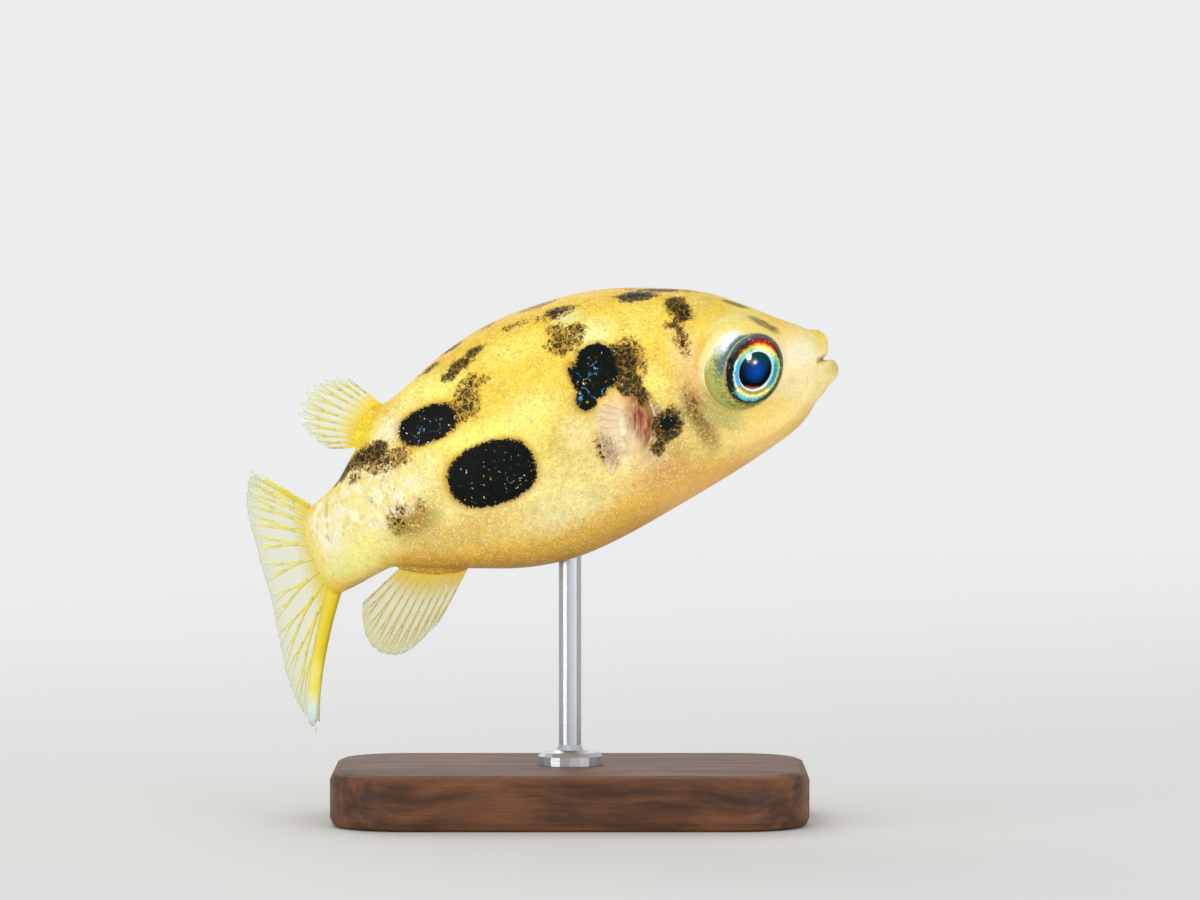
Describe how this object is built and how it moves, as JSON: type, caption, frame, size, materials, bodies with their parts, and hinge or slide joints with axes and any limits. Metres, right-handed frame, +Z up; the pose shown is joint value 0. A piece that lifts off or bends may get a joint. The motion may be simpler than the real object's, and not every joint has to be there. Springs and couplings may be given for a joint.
{
  "type": "dwarf freshwater pufferfish on a display stand",
  "caption": "Small plump yellow pufferfish with black blotches, nose up and tail swung to one side, held over a flat wooden base by a slim steel rod.",
  "frame": {"origin": "centre of the display base's flat underside", "axes": "+Z up, +X the way the fish's nose points along the base, +Y towards the fish's left side"},
  "size_m": [0.0243, 0.0152, 0.0213],
  "materials": {
    "skin": "moist scaleless skin, golden yellow with cream flanks, black and brown blotches",
    "lip": "pale peach moist skin",
    "eye": "clear wet cornea over a ringed iris and a blue-black pupil",
    "fin": "thin clear membrane on yellow branching rays",
    "wood": "oiled dark walnut with softened edges",
    "steel": "fine brushed, satin"
  },
  "bodies": {
    "root": {"head": "skin", "trunk": "skin", "tail": "skin", "upper_lip": "lip", "lower_lip": "lip", "eye_left": "eye", "eye_right": "eye", "dorsal_fin": "fin", "anal_fin": "fin", "caudal_fin": "fin", "pectoral_fin_left": "fin", "pectoral_fin_right": "fin", "stand_base": "wood", "stand_rod": "steel"}
  },
  "joints": []
}
